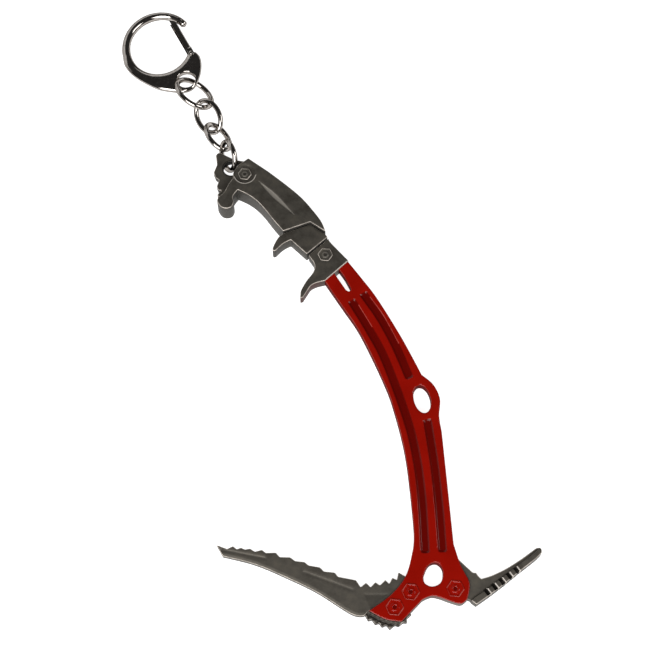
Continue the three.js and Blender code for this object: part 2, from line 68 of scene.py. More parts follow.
# Fasteners.
PICK_BOLT_FRONT = (21.6, -96.6)
PICK_BOLT_REAR = (26.6, -91.8)
FERRULE_BOLT = (0.1, 22.7)
GRIP_BOLT = (-27.3, 52.2)
BOSS_RADIUS = 3.5
SHANK_RADIUS = 1
HEX_HEIGHT = 0.5
HEX_RISE = 0.3
HEX_TURN = -0.1

# Chain: each ring lies along its heading, then is pitched and rolled, in degrees.
WIRE_RADIUS = 0.9
CHAIN = {
    "jump_ring": ((4.9, 4.9), (-33.2, 60.3, 5.5), (-69.5, -5.8, 69)),
    "chain_link_3": ((6, 4.3), (-37, 68.4, 4.2), (-67.6, 11.4, -39.3)),
    "chain_link_2": ((6, 4.3), (-40.5, 76.3, 4.3), (-60.1, -10.1, 36.7)),
    "chain_link_1": ((7.2, 6.5), (-45.6, 85, 5.1), (-64.9, 12.9, -37.5)),
}

# Clasp, in a frame of its own whose origin is the middle of its eye.
CLASP_PLACE = (-48.6, 90.7, 4)
CLASP_DROP = 4.5
OPENING_CENTRE = (-10, 14.6)
OPENING_RADII = (10.5, 11.7)
CLASP_WIRE_RADIUS = 1.45
CLASP_TIP_RADIUS = 1.2
CLASP_FACE = 1.1
EYE_RADIUS = 3.2
GATE_PIVOT = (1.4, 11)
GATE_HEADING = 117.5
GATE_LENGTH = 15.6
GATE_WIDTH = 2
GATE_HEIGHT = 3
GATE_SHEET = 0.4
GATE_PIN_RADIUS = 0.6

# Mesh spacing, the distance from an edge at which a material stops counting, and the number of
# points whose distances are taken at once, to spare memory.
OUTLINE_GAP = 0.3
FACE_GAP = 0.6
FAR = 5
BLOCK = 1000


# ---------------------------------------------------------------- outlines

def curve(points, gap=OUTLINE_GAP):
    """A smooth line through the points (a uniform Catmull-Rom spline), sampled about every gap."""
    points = np.array(points, float)
    last = len(points) - 1
    samples = []
    for i in range(last):
        before, start = points[max(i - 1, 0)], points[i]
        end, after = points[i + 1], points[min(i + 2, last)]
        count = max(math.ceil(np.linalg.norm(end - start) / gap), 1)
        leave, arrive = (end - before) / 2, (after - start) / 2
        if last == 1:
            leave = arrive = end - start
        for t in np.arange(count) / count:
            cubic = 2 * (start - end) + leave + arrive
            square = 3 * (end - start) - 2 * leave - arrive
            samples.append(cubic * t ** 3 + square * t ** 2 + leave * t + start)
    samples.append(points[-1])
    return np.array(samples)


def outline(start, *steps, soften=1):
    """A closed outline. A step is a corner (x, y), or a list of points for a smooth curve.
    Each round of softening takes a little off every corner."""
    points = [np.array(start, float)]
    for step in steps:
        through = step if isinstance(step, list) else [step]
        points.extend(curve([points[-1], *through])[1:])
    if np.linalg.norm(points[-1] - points[0]) > FIT:
        points.extend(curve([points[-1], points[0]])[1:])
    loop = np.array(points[:-1])
    for _ in range(soften):
        loop = (np.roll(loop, 1, 0) + 2 * loop + np.roll(loop, -1, 0)) / 4
    return loop


def ellipse(centre, radius_x, radius_y, turn=0, gap=OUTLINE_GAP, start=0, end=2 * math.pi):
    count = max(math.ceil((end - start) * max(radius_x, radius_y) / gap), 12)
    angle = np.linspace(start, end, count, endpoint=end - start < 2 * math.pi)
    x, y = radius_x * np.cos(angle), radius_y * np.sin(angle)
    cos, sin = math.cos(turn), math.sin(turn)
    return np.stack([centre[0] + cos * x - sin * y, centre[1] + sin * x + cos * y], 1)


def circle(centre, radius, gap=OUTLINE_GAP):
    return ellipse(centre, radius, radius, gap=gap)


def hexagon(centre, radius, soften=1):
    corners = [(centre[0] + radius * math.cos(HEX_TURN + k * math.pi / 3),
                centre[1] + radius * math.sin(HEX_TURN + k * math.pi / 3)) for k in range(6)]
    return outline(corners[0], *corners[1:], soften=soften)


def turned(loop, sign):
    """The loop with the material on its left: sign 1 for an outer edge, -1 for a hole's."""
    x, y = loop.T
    area = np.dot(x, np.roll(y, -1)) - np.dot(y, np.roll(x, -1))
    return loop if area * sign > 0 else loop[::-1]


def inset(loop, shift):
    """The loop moved to its left. The ends of an open line are not to be used."""
    along = np.roll(loop, -1, 0) - np.roll(loop, 1, 0)
    along /= np.maximum(np.linalg.norm(along, axis=1, keepdims=True), 1e-9)
    return loop + shift * np.stack([-along[:, 1], along[:, 0]], 1)


def closed(loop):
    return np.vstack([loop, loop[:1]])


def distance(points, line):
    """How far each point is from a line of straight pieces."""
    a, b = line[:-1], line[1:]
    step = b - a
    length = np.maximum((step ** 2).sum(1), 1e-12)
    result = np.empty(len(points))
    for first in range(0, len(points), BLOCK):
        away = points[first:first + BLOCK, None] - a
        t = np.clip((away * step).sum(2) / length, 0, 1)
        result[first:first + BLOCK] = np.linalg.norm(away - t[..., None] * step, axis=2).min(1)
    return result


def inside(points, loop):
    """Which points are inside a loop: a line to the right of them crosses it an odd number of
    times."""
    a, b = loop, np.roll(loop, -1, 0)
    rise = b[:, 1] - a[:, 1]
    rise[rise == 0] = 1e-12
    result = np.empty(len(points), bool)
    for first in range(0, len(points), BLOCK):
        x, y = points[first:first + BLOCK, :1], points[first:first + BLOCK, 1:]
        spans = (a[:, 1] > y) != (b[:, 1] > y)
        crossing = a[:, 0] + (y - a[:, 1]) / rise * (b[:, 0] - a[:, 0])
        result[first:first + BLOCK] = (spans & (x < crossing)).sum(1) % 2 == 1
    return result


# ---------------------------------------------------------------- relief on a face

# A feature lowers a face by drop(points) millimetres. Its rows are lines of points that carry
# its shape, and its tone says how much paler (positive) or darker (negative) its metal or paint
# is painted: painted highlight on edges and lips, painted shade in hollows, and on a few flats
# simply paler or darker.
Feature = namedtuple("Feature", "rows drop tone")


def smooth_step(t):
    t = np.clip(t, 0, 1)
    return t * t * (3 - 2 * t)


def groove(points, half_width, depth, wall, tone=-1):
    """A flat-bottomed trough with sloping walls and squarish ends along a smooth line. By default
    its inside is painted darker, as painted shade.
    """
    line = curve(points)

    def measure(xy):
        first, last = line[1] - line[0], line[-1] - line[-2]
        first, last = first / np.linalg.norm(first), last / np.linalg.norm(last)
        beyond = np.maximum((line[0] - xy) @ first, (xy - line[-1]) @ last).clip(0)
        away = distance(xy, line)
        across = np.sqrt(np.maximum(away ** 2 - beyond ** 2, 0))
        return (across ** 4 + beyond ** 4) ** 0.25

    def drop(xy):
        return depth * smooth_step((half_width - measure(xy)) / wall)

    rows = []
    for offset in (0, 0.35, half_width - wall, half_width - 0.7 * wall, half_width - 0.3 * wall,
                   half_width, half_width + 0.12):
        for side in (-1, 1):
            rows.append(inset(line, side * offset)[1:-1])
        for end, step in ((line[0], line[0] - line[1]), (line[-1], line[-1] - line[-2])):
            ahead = step / np.linalg.norm(step)
            across = np.array([-ahead[1], ahead[0]])
            for angle in np.linspace(-math.pi / 2, math.pi / 2, 17):
                sine, cosine = math.sin(angle), abs(math.cos(angle))
                sideways = math.copysign(abs(sine) ** 0.5, sine)
                rows.append([end + offset * (sideways * across + cosine ** 0.5 * ahead)])
    return Feature(rows, drop, tone)


def stroke(line, width, depth, tone=-1):
    """A thin engraved line, or a raised one where the depth is negative."""
    def drop(xy):
        return depth * smooth_step(1.4 * (1 - distance(xy, line) / (width / 2)))

    rows = [line] + [inset(line, side * width / 2) for side in (-1, -0.5, 0.5, 1)]
    return Feature(rows, drop, tone)


def sunk(loop, depth, wall, tone=-1):
    """The area inside a loop, lowered. A negative depth raises it."""
    loop = turned(loop, 1)

    def drop(xy):
        signed = distance(xy, closed(loop)) * np.where(inside(xy, loop), 1, -1)
        return depth * smooth_step(0.5 + signed / wall)

    rows = [inset(loop, share * wall) for share in (-0.6, -0.3, 0, 0.3, 0.6)]
    return Feature(rows, drop, tone)


def bevel(points, width, depth, tone=1):
    """A sloping band beside a line, deepest on the line."""
    line = curve(points)

    def drop(xy):
        return depth * np.clip(1 - distance(xy, line) / width, 0, 1)

    rows = [inset(line, side * width * share) for side in (-1, 1) for share in (0.3, 0.7, 1, 1.1)]
    return Feature(rows, drop, tone)


def thinned(points, gap):
    """One point for each cell of a grid."""
    kept = np.unique(np.round(points / gap).astype(int), axis=0, return_index=True)[1]
    return points[np.sort(kept)]


def face_points(loops, roundings, features, gap):
    """Points for a face: rows beside its edges, the features' rows and an even filling."""
    clear_of_edges, merging = 0.12, 0.09
    rows = []
    for loop, rounding in zip(loops, roundings):
        for share in (0.14, 0.5, 1):
            row = inset(loop, rounding * share)
            near = np.min([distance(row, closed(other)) for other in loops], axis=0)
            rows.append(row[near > 0.93 * rounding * share])
    for feature in features:
        for row in feature.rows:
            row = np.array(row)
            near = np.min([distance(row, closed(loop)) for loop in loops], axis=0)
            rows.append(row[near > clear_of_edges])
    rows = thinned(np.vstack(rows), merging)
    low, high = loops[0].min(0), loops[0].max(0)
    columns = np.arange(low[0], high[0], gap)
    lines = np.arange(low[1], high[1], gap * math.sqrt(0.75))
    x, y = np.meshgrid(columns, lines)
    x[1::2] += gap / 2
    grid = np.stack([x.ravel(), y.ravel()], 1)
    for loop in loops:
        grid = grid[distance(grid, closed(loop)) > 0.5 * gap]
    reach = 0.45 * gap
    cells = set()
    for dx in (-1, 0, 1):
        for dy in (-1, 0, 1):
            near = np.floor(rows / reach).astype(int) + (dx, dy)
            cells.update(map(tuple, near))
    free = [tuple(cell) not in cells for cell in np.floor(grid / reach).astype(int)]
    points = np.vstack([rows, grid[free]])
    for loop, sign in zip(loops, [True] + [False] * (len(loops) - 1)):
        points = points[inside(points, loop) == sign]
    return points


def triangulated(loops, points):
    """Triangles between the first loop and the other ones, which are its holes."""
    corners = np.vstack([*loops, points])
    edges = []
    first = 0
    for loop in loops:
        count = len(loop)
        edges.extend((first + i, first + (i + 1) % count) for i in range(count))
        first += count
    flat, _, faces, *_ = delaunay_2d_cdt([Vector(c) for c in corners], edges, [], 0, 1e-6)
    flat = np.array(flat)
    faces = np.array(faces)
    middle = flat[faces].mean(1)
    keep = inside(middle, loops[0])
    for hole in loops[1:]:
        keep &= ~inside(middle, hole)
    return flat, faces[keep]


def rounded_drop(away, rounding):
    """How far a rounded edge has dropped at a distance from the outline."""
    return rounding - np.sqrt(rounding ** 2 - np.clip(rounding - away, 0, rounding) ** 2)


def plate(name, outer, low, high, rounding=0.3, holes=(), features=(), back=None,
          gap=FACE_GAP, shaping=None, matrix=None, covered=None):
    """A closed plate between two heights with rounded edges and relief on its faces. The back
    has the same features as the front unless it is given its own. Covered holds the loops, for
    side 1 or -1, within which the face lies against another piece and is flat to its edge."""
    loops = [turned(outer, 1), *(turned(hole, -1) for hole in holes)]
    roundings = [rounding] * len(loops) if np.isscalar(rounding) else rounding
    every_feature = [*features, *(back or [])]
    flat, faces = triangulated(loops, face_points(loops, roundings, every_feature, gap))
    nearest = [distance(flat, closed(loop)) for loop in loops]
    edge = np.min(nearest, axis=0)
    corner = np.max([rounded_drop(d, r) for d, r in zip(nearest, roundings)], axis=0)
    count = len(flat)
    heights, tones, edges = [], [], []
    for side, relief in ((1, features), (-1, features if back is None else back)):
        drop, tone = corner.copy(), np.zeros(count)
        away = np.minimum(edge, FAR)
        if covered and side in covered:
            hidden = inside(flat, covered[side]) | (distance(flat, closed(covered[side])) < FIT)
            drop[hidden] = 0
            away[hidden] = FAR
        for feature in relief:
            depth = feature.drop(flat)
            drop = np.maximum(drop, depth) if depth.max() > 0 else drop + depth
            tone += feature.tone * np.abs(depth) / max(np.abs(depth).max(), 1e-6)
        if shaping:
            drop = shaping(flat, nearest)
        heights.append(high - drop if side > 0 else low + drop)
        tones.append(tone)
        edges.append(away)
    top, bottom = (np.column_stack([flat, z]) for z in heights)
    pairs = np.vstack([faces[:, [0, 1]], faces[:, [1, 2]], faces[:, [2, 0]]])
    directed = set(map(tuple, pairs))
    rim = [(a, b) for a, b in directed if (b, a) not in directed]
    polygons = faces.tolist() + (faces[:, ::-1] + count).tolist()
    polygons += [(b, a, a + count, b + count) for a, b in rim]
    wall = np.zeros(count)
    wall[[a for pair in rim for a in pair]] = 1
    return mesh_piece(
        name, np.vstack([top, bottom]), polygons, matrix,
        edge=np.concatenate(edges), tone=np.concatenate(tones), wall=np.tile(wall, 2),
    )


def mesh_piece(name, points, polygons, matrix=None, sharp=42, **attributes):
    """An object from points in millimetres. Its attributes are one number for each point."""
    mesh = bpy.data.meshes.new(name)
    matrix = matrix or Matrix.Identity(4)
    mesh.from_pydata([matrix @ Vector(p) / 1000 + SHIFT for p in points], [], polygons)
    for key, values in attributes.items():
        mesh.attributes.new(key, "FLOAT", "POINT").data.foreach_set("value", values)
    work = bmesh.new()
    work.from_mesh(mesh)
    loose = [v for v in work.verts if not v.link_faces]
    bmesh.ops.delete(work, geom=loose, context="VERTS")
    bmesh.ops.recalc_face_normals(work, faces=work.faces)
    work.to_mesh(mesh)
    work.free()
    mesh.shade_smooth()
    mesh.set_sharp_from_angle(angle=math.radians(sharp))
    piece = bpy.data.objects.new(name, mesh)
    bpy.context.scene.collection.objects.link(piece)
    return piece


def joined(name, *pieces):
    """The pieces as one object."""
    with bpy.context.temp_override(active_object=pieces[0], selected_editable_objects=pieces):
        bpy.ops.object.join()
    pieces[0].name = name
    return pieces[0]


# ---------------------------------------------------------------- lofts

def loft(name, sections, closed_path=False, matrix=None, sharp=42):
    """A skin over closed sections with the same number of points, capped unless it's a ring."""
    count = len(sections[0])
    rings = len(sections)
    polygons = []
    for i in range(rings if closed_path else rings - 1):
        for j in range(count):
            a, b = i * count + j, i * count + (j + 1) % count
            c, d = ((i + 1) % rings) * count + (j + 1) % count, ((i + 1) % rings) * count + j
            polygons.append((a, b, c, d))
    if not closed_path:
        polygons.append(tuple(range(count))[::-1])
        polygons.append(tuple((rings - 1) * count + j for j in range(count)))
    points = np.vstack(sections)
    zero = np.zeros(len(points))
    return mesh_piece(name, points, polygons, matrix, sharp, edge=zero + 1, tone=zero, wall=zero)


def lathe(name, centre, profile, steps=32, matrix=None):
    """A turned piece: the profile is (radius, height) from the bottom to the top."""
    sections = []
    for radius, z in profile:
        angle = np.linspace(0, 2 * math.pi, steps, endpoint=False)
        x, y = centre[0] + radius * np.cos(angle), centre[1] + radius * np.sin(angle)
        sections.append(np.column_stack([x, y, np.full(steps, z)]))
    return loft(name, sections, matrix=matrix)


def dome(radius, height, rise, steps=5):
    """The end of a lathe profile: a low dome on top of the given height."""
    angles = np.linspace(0, math.pi / 2, steps + 1)[:-1]
    points = [(radius * math.cos(a), height + rise * math.sin(a)) for a in angles]
    return [*points, (0.05 * radius, height + rise)]


# ---------------------------------------------------------------- shaft

def centred(thickness):
    """The lower and the upper face of a plate on the axe's middle plane."""
    return MIDDLE_Z - thickness / 2, MIDDLE_Z + thickness / 2


GROOVE_HALF_WIDTH = 1.65
GROOVE_DEPTH = 0.55
GROOVE_WALL = 0.85
GROOVES = [
    [(9.4, 5.3), (14.5, -3.8), (19.8, -14.8), (26.5, -35), (29.3, -48), (30.7, -61), (31.4, -78)],
    [(13.3, 8), (18.3, 0.2), (23.1, -9.5), (27.1, -19.8)],
    [(33.2, -36.5), (34.9, -50), (36.1, -64), (36.8, -77.7)],
]


def painted_highlight_lip(points):
    """A painted highlight: a pale line along the right lip of a groove, given by its middle line.
    """
    to_lip = 1.3
    return stroke(inset(curve(points), to_lip)[1:-1], 0.35, 0.03, tone=1.5)


def shaft():
    """The shaft runs on a little under the ferrule, so that its slot starts out of sight."""
    shape = outline(
        (7.8, 20.4),
        [(12.2, 14.5), (17.3, 7.2), (24.4, -5.3), (29.1, -14.7), (31.5, -19.8)],
        [(35.3, -23.3), (37.3, -28.2), (36.9, -34), (37.6, -39.5)],
        [(39.2, -60.3), (40.4, -76.5)],
        [(42.4, -83.2), (45, -89), (44.2, -94)],
        [(42.1, -95.5), (38.6, -94.6)],
        [(33.6, -93), (30.2, -94.2)],
        (23.6, -101.1),
        [(18.7, -100.3), (13.6, -97.7)],
        [(20.8, -92.3), (25.4, -86.1), (27.8, -77)],
        [(27.9, -70), (25.9, -48.3), (22.4, -32), (18.9, -21.5), (11.7, -5.3), (6.3, 3.5)],
        (0.1, 13.2), (-0.6, 15.2), (5.2, 20.6),
    )
    middle_eye = ellipse((31.5, -28.2), 2.7, 4.8, 0.2)
    head_eye = outline(
        (30.7, -86.8),
        [(31, -88.9), (33.3, -90), (35.9, -88.9), (36.8, -86.2), (36.5, -84), (35.2, -82.6),
         (33.6, -82.5), (32, -83.7), (30.7, -86.8)],
        soften=3,
    )
    slot = outline(
        (2.9, 16.6), [(6.2, 11.4), (7, 10.2)], [(7.7, 9.7), (8.4, 9.9), (8.6, 10.8)],
        [(6.6, 14.8), (4.7, 17.6)],
    )
    return plate(
        "shaft", shape, *centred(SHAFT_THICKNESS), [0.32, 0.45, 0.45, 0.25],
        holes=[middle_eye, head_eye, slot],
        features=[
            # The grooves are painted darker inside: painted shade.
            *(groove(points, GROOVE_HALF_WIDTH, GROOVE_DEPTH, GROOVE_WALL) for points in GROOVES),
            # Painted highlights along the right lips of the two upper grooves.
            painted_highlight_lip([(13.8, 7.1), (18.3, 0.2), (23.1, -9.5)]),
            painted_highlight_lip([(9.9, 4.4), (14.5, -3.8)]),
        ],
    )


# ---------------------------------------------------------------- head

def pick():
    """The toothed blade, with a bevel along its spine and shallow flats on its sides."""
    spine = [(8, -98.4), (-2.2, -91.9), (-11, -87.5), (-21.7, -82.9), (-32.1, -80.2)]
    shape = outline(
        (-34.1, -76.6),
        (-30.7, -77.9), (-28.9, -77), (-27.7, -78), (-26.4, -77.5), (-25.1, -78.1),
        (-23.5, -77.8), (-22, -78.8), (-19.8, -78.2), (-18.5, -79.2), (-15.4, -79.1),
        (-14.2, -80.5), (-10.9, -80.6), (-9.3, -81.8), (-6.4, -82.1), (-5.1, -83.2),
        (-1.6, -83.8), (-0.3, -85.1), (3.1, -85.5), (4.1, -86.8), (9.7, -87.9), (11.1, -90.1),
        (12.8, -88.7), (14.2, -90.1), (15.7, -88.5), (17.1, -89.5), (18.8, -87.8), (20, -89),
        (21, -87.1), (22.4, -87.8), (22.9, -85.4), (25, -86.6),
        (28.2, -87.6), (29.8, -92), (24.6, -97.6), (20.6, -99.2), (14, -97.4), (13.3, -97.8),
        (12.5, -98.75), (12, -99.2), spine,
    )
    return plate(
        "pick", shape, *centred(BLADE_THICKNESS), 0.22,
        features=[
            bevel([(12, -99.2), *spine], 1, 0.25, tone=0.05),
            stroke(curve([(-6.6, -85.3), (8.4, -90.9)]), 1.1, 0.16, tone=0.1),
            stroke(curve([(-31.7, -78.3), (-18.8, -80.9)]), 0.9, 0.16, tone=0.1),
            sunk(outline((12.1, -92.3), (19.6, -92.3), (14.2, -96.7)), 0.16, 0.9, tone=-0.3),
        ],
    )


def hammer():
    """A striking face of small pyramids along the lower end of the shaft."""
    face = [(13.4, -97.9), (18.6, -100.5), (23.7, -101.2), (26.4, -98.4)]
    shape = outline(
        (12.3, -98.6),
        (13.3, -100.6), (14.5, -100.2), (15.5, -101.8), (16.7, -101.3), (17.6, -102.6),
        (18.9, -101.9), (20, -103.3), (21.6, -102), (22.8, -102.4), (24, -101.2), (25.4, -101.3),
        (25.3, -99.9), (26.9, -98.6), (26.4, -98.4), (26, -96.6), (22, -96), (17, -97),
        (13.2, -97.4),
    )
    line = curve(face)
    pitch, depth = 1.55, 0.75

    def pyramids(xy):
        steps = np.linalg.norm(np.diff(line, axis=0), axis=1)
        along = np.concatenate([[0], np.cumsum(steps)])
        gaps = np.linalg.norm(xy[:, None] - line, axis=2)
        place_along = along[gaps.argmin(1)]
        away = distance(xy, line)
        wave = [np.abs((value / pitch + 0.5) % 1 - 0.5) * 2 for value in (place_along, away)]
        return depth * np.maximum(*wave) * smooth_step(away / 0.4)

    gap = 0.25
    rows = [inset(line, side * gap * k) for side in (-1, 1) for k in range(9)]
    return plate(
        "hammer", shape, *centred(HAMMER_THICKNESS), 0.2,
        # The valleys between the pyramids are painted darker: painted shade.
        features=[Feature(rows, pyramids, -0.8)], gap=gap,
    )


def adze():
    """A thin web with a thicker rim, which has five notches across it."""
    low_edge = [(65.8, -81.4), (60.8, -85.3), (56.2, -89), (51.3, -92.7), (46.9, -95.8)]
    tip = [(66.6, -77.6), (67.8, -78.1), (67.9, -79.4)]
    shape = outline(
        (41.5, -81),
        (46.1, -85.5), (47.2, -85.6), (47.9, -86.7), (48.7, -87.5),
        [(51.9, -86.5), (56.7, -84.2), (61.6, -81.1), (65.3, -78.4)], tip, low_edge,
        (44.8, -94.1), (41.4, -93.2), (38.8, -92.2), (38.3, -88), (39.7, -84.8),
    )
    inner_edge = [(49.9, -91.2), (54.8, -87.5), (59.5, -83.9), (64.6, -80.2), (67.2, -77.8)]
    web = outline(
        (46, -93.8), inner_edge, (66, -75), (40, -75), (30, -90), (38, -97), (45, -95.1),
    )
    step = (ADZE_RIM_THICKNESS - BLADE_THICKNESS) / 2
    notches = []
    first, last = np.array((50.5, -92.1)), np.array((60, -85.3))
    along = (last - first) / np.linalg.norm(last - first)
    across = np.array((-along[1], along[0]))
    for k in range(5):
        centre = first + (last - first) * k / 4
        corners = [centre + u * along + v * across
                   for u, v in ((-0.55, -0.75), (0.55, -0.75), (0.55, 1.6), (-0.55, 1.6))]
        # Each notch is painted darker inside as painted shade, and a pale line along its lip is a
        # painted highlight.
        notches.append(sunk(outline(*corners, soften=0), step, 0.25, tone=-1))
        lip = centre + 0.8 * along
        painted_highlight_edge = curve([lip - 0.8 * across, lip + 1.2 * across])
        notches.append(stroke(painted_highlight_edge, 0.5, -0.15, tone=2.5))
    return plate(
        "adze", shape, *centred(ADZE_RIM_THICKNESS), 0.3,
        features=[sunk(web, step, 0.3, tone=0), *notches],
    )


# ---------------------------------------------------------------- handle

def ferrule():
    """The lower finger hook, a sleeve on the shaft's end."""
    shape = outline(
        (1.2, 28.8), [(2, 27.2), (7.9, 20.6)], (0, 13.3),
        [(-2.5, 12.7), (-4.6, 11.6), (-5.9, 9.6), (-7.3, 7.3)], [(-8.2, 7.1), (-8.2, 8.4)],
        [(-8, 9.8), (-6.3, 13.1), (-4, 16.3), (-3.4, 18.6), (-3.9, 20.2)], (-5.5, 22.6),
    )
    # A painted highlight along the ferrule's lower end edge.
    lip = stroke(curve([(0.6, 14), (7.5, 20.5)]), 0.5, -0.04, tone=1.4)
    return plate("ferrule", shape, *centred(FERRULE_THICKNESS), 0.35, features=[lip])


def guard():
    """The upper finger hook, between the ferrule and the grip."""
    shape = outline(
        (0.9, 29.1), (0, 30.2), (-5, 33.7), (-13.9, 30.4),
        [(-15.6, 29), (-16.9, 26.7), (-17.6, 24.8)], [(-17.4, 24), (-16.6, 24)],
        [(-14, 26.6), (-11.5, 28)], (-6.1, 22.8),
    )
    return plate("guard", shape, *centred(GUARD_THICKNESS), 0.35)


# The lower side of a grip scale, from the nose at the pommel to the guard, and its back.
SCALE_NOSE = [(-36.5, 42), (-35.2, 39.8), (-33.3, 39.1), (-31.5, 39.8), (-30.8, 41.6)]
SCALE_HOOK = [(-31.2, 43.6), (-29.6, 46.1)]
SCALE_PALM = [(-26.1, 44.3), (-23, 41.9), (-20.2, 38.7), (-17.2, 34.6), (-14, 30.7)]
SCALE_END = [(-5, 34.1), (0.2, 30.5)]
SCALE_BACK = [(-1.2, 34.2), (-4, 38.3), (-7.9, 43.1), (-13.2, 48), (-19.5, 53.2)]


def scale_outline():
    return outline(
        (-26.2, 58.1), (-29.8, 55.3), (-30.6, 53.9), [(-31.3, 52.2), (-31.2, 50.6)],
        [(-32.7, 48.3), (-34.2, 45.2), (-36, 43.4)],
        SCALE_NOSE, SCALE_HOOK, SCALE_PALM, *SCALE_END, SCALE_BACK,
    )


def scale(name, side):
    """One grip scale. The outer face has a round boss recess and a spindle-shaped flute."""
    shape = scale_outline()
    flute = outline(
        (-22.5, 49.3), [(-16.4, 44.1), (-10.4, 36.7)], [(-17.6, 43.2), (-22.5, 49.3)], soften=0,
    )
    boss_wall = 0.25
    edge_radius = BOSS_RADIUS + boss_wall
    boss_highlight_arc = ellipse(GRIP_BOLT, edge_radius, edge_radius, start=3.5, end=6.1)
    relief = [
        sunk(circle(GRIP_BOLT, BOSS_RADIUS), HEX_HEIGHT, boss_wall, tone=0),
        # A painted highlight along the lower arc of the boss recess's edge.
        stroke(boss_highlight_arc, 0.5, -0.08, tone=1.6),
        sunk(flute, 0.35, 0.5, tone=1),
    ]
    near, far = MIDDLE_Z + side * CORE_THICKNESS / 2, MIDDLE_Z + side * GRIP_THICKNESS / 2
    low, high = sorted((near, far))
    front, back = (relief, []) if side > 0 else ([], relief)
    return plate(name, shape, low, high, 0.32, features=front, back=back,
                 covered={-side: shape})


def pommel_plate():
    """A toothed plate with the eye for the chain. It runs on between the scales as their liner."""
    eye = (-32.1, 55.6)
    eye_radius = 2.7
    shape = outline(
        (-37.5, 60.6), (-37, 57), (-38.1, 54), (-37.3, 52), (-36.1, 51.2), (-36.9, 48.8),
        (-36.3, 47.3), (-35.2, 47.2), (-36.7, 45.6), (-35.8, 44.4), (-36.1, 43.3),
        SCALE_NOSE, SCALE_HOOK, SCALE_PALM, *SCALE_END, SCALE_BACK, (-26.2, 58.1), (-27.8, 58.3),
        [(-30.3, 58.8), (-32.6, 59.8), (-35.8, 61.5)], (-36.8, 61.5),
    )
    return plate(
        "pommel_plate", shape, *centred(CORE_THICKNESS), 0.2,
        holes=[circle(eye, eye_radius)],
        # A painted shade ring round the eye.
        features=[stroke(closed(circle(eye, eye_radius + 0.1)), 1, 0.02)],
        covered={1: scale_outline(), -1: scale_outline()},
    )


# ---------------------------------------------------------------- fasteners

# A bolt head lies on its face and the nut on the face behind. The slot names the material.
Fastener = namedtuple("Fastener", "name centre radius face slot")
HEAD_FACE = centred(SHAFT_THICKNESS)[1]
HEAD_HEX_RADIUS = 2.9
FASTENERS = [
    Fastener("pick_front", PICK_BOLT_FRONT, HEAD_HEX_RADIUS, HEAD_FACE, "red_paint"),
    Fastener("pick_rear", PICK_BOLT_REAR, HEAD_HEX_RADIUS, HEAD_FACE, "red_paint"),
    Fastener("adze", ADZE_BOLT, HEAD_HEX_RADIUS, HEAD_FACE, "red_paint"),
    Fastener("ferrule", FERRULE_BOLT, 2.6, centred(FERRULE_THICKNESS)[1], "antique_metal"),
    Fastener("grip", GRIP_BOLT, 2.4, GRIP_THICKNESS - HEX_HEIGHT, "antique_metal"),
]


def bolt(fastener):
    """A low hexagonal head with a raised border and a raised hexagon round a small dimple."""
    centre, radius = fastener.centre, fastener.radius
    corners = [centre + (radius - 0.2) * np.array((math.cos(a), math.sin(a)))
               for a in HEX_TURN + np.arange(6) * math.pi / 3]
    relief = [
        # Painted highlights on two opposite edges of the border.
        stroke(curve(corners[2:4]), 0.35, -0.03, tone=1),
        stroke(curve([corners[5], corners[0]]), 0.35, -0.03, tone=1),
        sunk(hexagon(centre, radius - 0.42), HEX_RISE - 0.1, 0.22, tone=0),
        sunk(hexagon(centre, 0.48 * radius), -0.18, 0.25, tone=0.3),
        # The dimple is painted darker: painted shade.
        sunk(circle(centre, 0.24 * radius, gap=0.15), 0.16, 0.25, tone=-0.8),
    ]
    face = fastener.face
    head = plate("head", hexagon(centre, radius), face - FIT, face + HEX_RISE, 0.12,
                 features=relief, back=[], gap=0.25)
    back = 2 * MIDDLE_Z - face
    bottom, chamfer, closing = back - HEX_HEIGHT, 0.15, 0.05
    profile = [
        (closing, bottom), (0.8 * SHANK_RADIUS, bottom), (SHANK_RADIUS, bottom + chamfer),
        (SHANK_RADIUS, face), (closing, face),
    ]
    shank = lathe("shank", centre, profile)
    return joined(fastener.name + "_bolt", head, shank)


def nut(fastener):
    """A plain hexagonal nut on the back, round the bolt's shank."""
    back = 2 * MIDDLE_Z - fastener.face
    return plate(
        fastener.name + "_nut", hexagon(fastener.centre, fastener.radius), back - HEX_HEIGHT,
        back + FIT, [0.15, 0.1], holes=[circle(fastener.centre, SHANK_RADIUS + 0.1)], gap=0.4,
    )


# ---------------------------------------------------------------- chain

def ring(name, half_sizes, centre, angles, steps=96, sides=20):
    """A round-wire ring, bent to an oval."""
    heading, pitch, roll = map(math.radians, angles)
    matrix = (Matrix.Translation(centre) @ Matrix.Rotation(heading, 4, "Z")
              @ Matrix.Rotation(-pitch, 4, "Y") @ Matrix.Rotation(roll, 4, "X"))
    sections = []
    around = np.linspace(0, 2 * math.pi, sides, endpoint=False)
    for i in range(steps):
        angle = 2 * math.pi * i / steps
        middle = np.array((half_sizes[0] * math.cos(angle), half_sizes[1] * math.sin(angle), 0))
        out = np.array((half_sizes[1] * math.cos(angle), half_sizes[0] * math.sin(angle), 0))
        out /= np.linalg.norm(out)
        sections.append(middle + WIRE_RADIUS * (np.cos(around)[:, None] * out
                                           + np.sin(around)[:, None] * np.array((0, 0, 1))))
    return loft(name, sections, closed_path=True, matrix=matrix, sharp=60)


# ---------------------------------------------------------------- clasp

def clasp_matrix():
    across = Vector((OPENING_CENTRE[1], -OPENING_CENTRE[0], 0)).normalized()
    drop = Matrix.Rotation(math.radians(-CLASP_DROP), 4, across)
    return Matrix.Translation(CLASP_PLACE) @ drop


